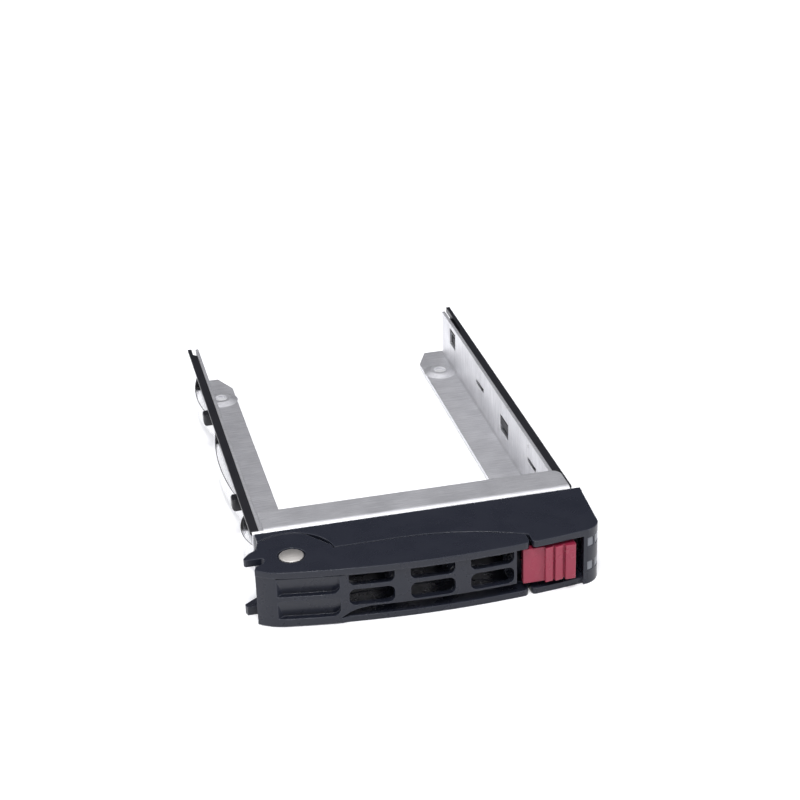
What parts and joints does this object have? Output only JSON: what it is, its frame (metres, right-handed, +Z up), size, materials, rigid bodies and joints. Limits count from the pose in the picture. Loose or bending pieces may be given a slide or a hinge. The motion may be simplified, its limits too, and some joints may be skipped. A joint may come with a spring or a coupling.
{
  "type": "hot swap drive caddy",
  "caption": "Folded steel tray for a small drive with guide strips, a black front housing, a swinging ejector lever and a red release button.",
  "frame": {"origin": "middle of the four bottom drive screw holes, on the plane that the drive's underside rests on", "axes": "+X to the right across the front, +Y from the front panel to the drive's connector, +Z up"},
  "size_m": [0.0812, 0.1331, 0.0145],
  "materials": {
    "tray_steel": "satin galvanised sheet",
    "spring_steel": "bright stainless spring",
    "rivet_steel": "satin",
    "screw_steel": "zinc plated",
    "black_plastic": "fine satin moulding",
    "red_plastic": "slightly see-through red moulding",
    "clear_plastic": "clear light guide"
  },
  "bodies": {
    "caddy": {"tray_frame": "tray_steel", "left_guide_strip": "black_plastic", "right_guide_strip": "black_plastic", "left_side_spring": "spring_steel", "lower_light_pipe": "clear_plastic", "upper_light_pipe": "clear_plastic", "bezel_body": "black_plastic", "pivot_rivet": "rivet_steel", "rivet_washer": "rivet_steel", "lever_spring": "spring_steel", "button_spring": "spring_steel", "bezel_screw_left": "screw_steel", "bezel_screw_middle": "screw_steel", "bezel_screw_right": "screw_steel"},
    "lever": {"ejector_lever": "black_plastic"},
    "button": {"release_button": "red_plastic"}
  },
  "joints": [
    {"name": "lever_swing", "type": "hinge", "parent": "caddy", "child": "lever", "pos_m": [-0.03085, -0.0689, 0.00455], "axis": [0, 0, -1], "range_deg": [0, 28]},
    {"name": "button_slide", "type": "slide", "parent": "caddy", "child": "button", "axis": [1, 0, 0], "range_m": [0, 0.0022], "stiffness_N_per_m": 400, "springref_m": -0.0005, "deforming": ["button_spring"]}
  ]
}
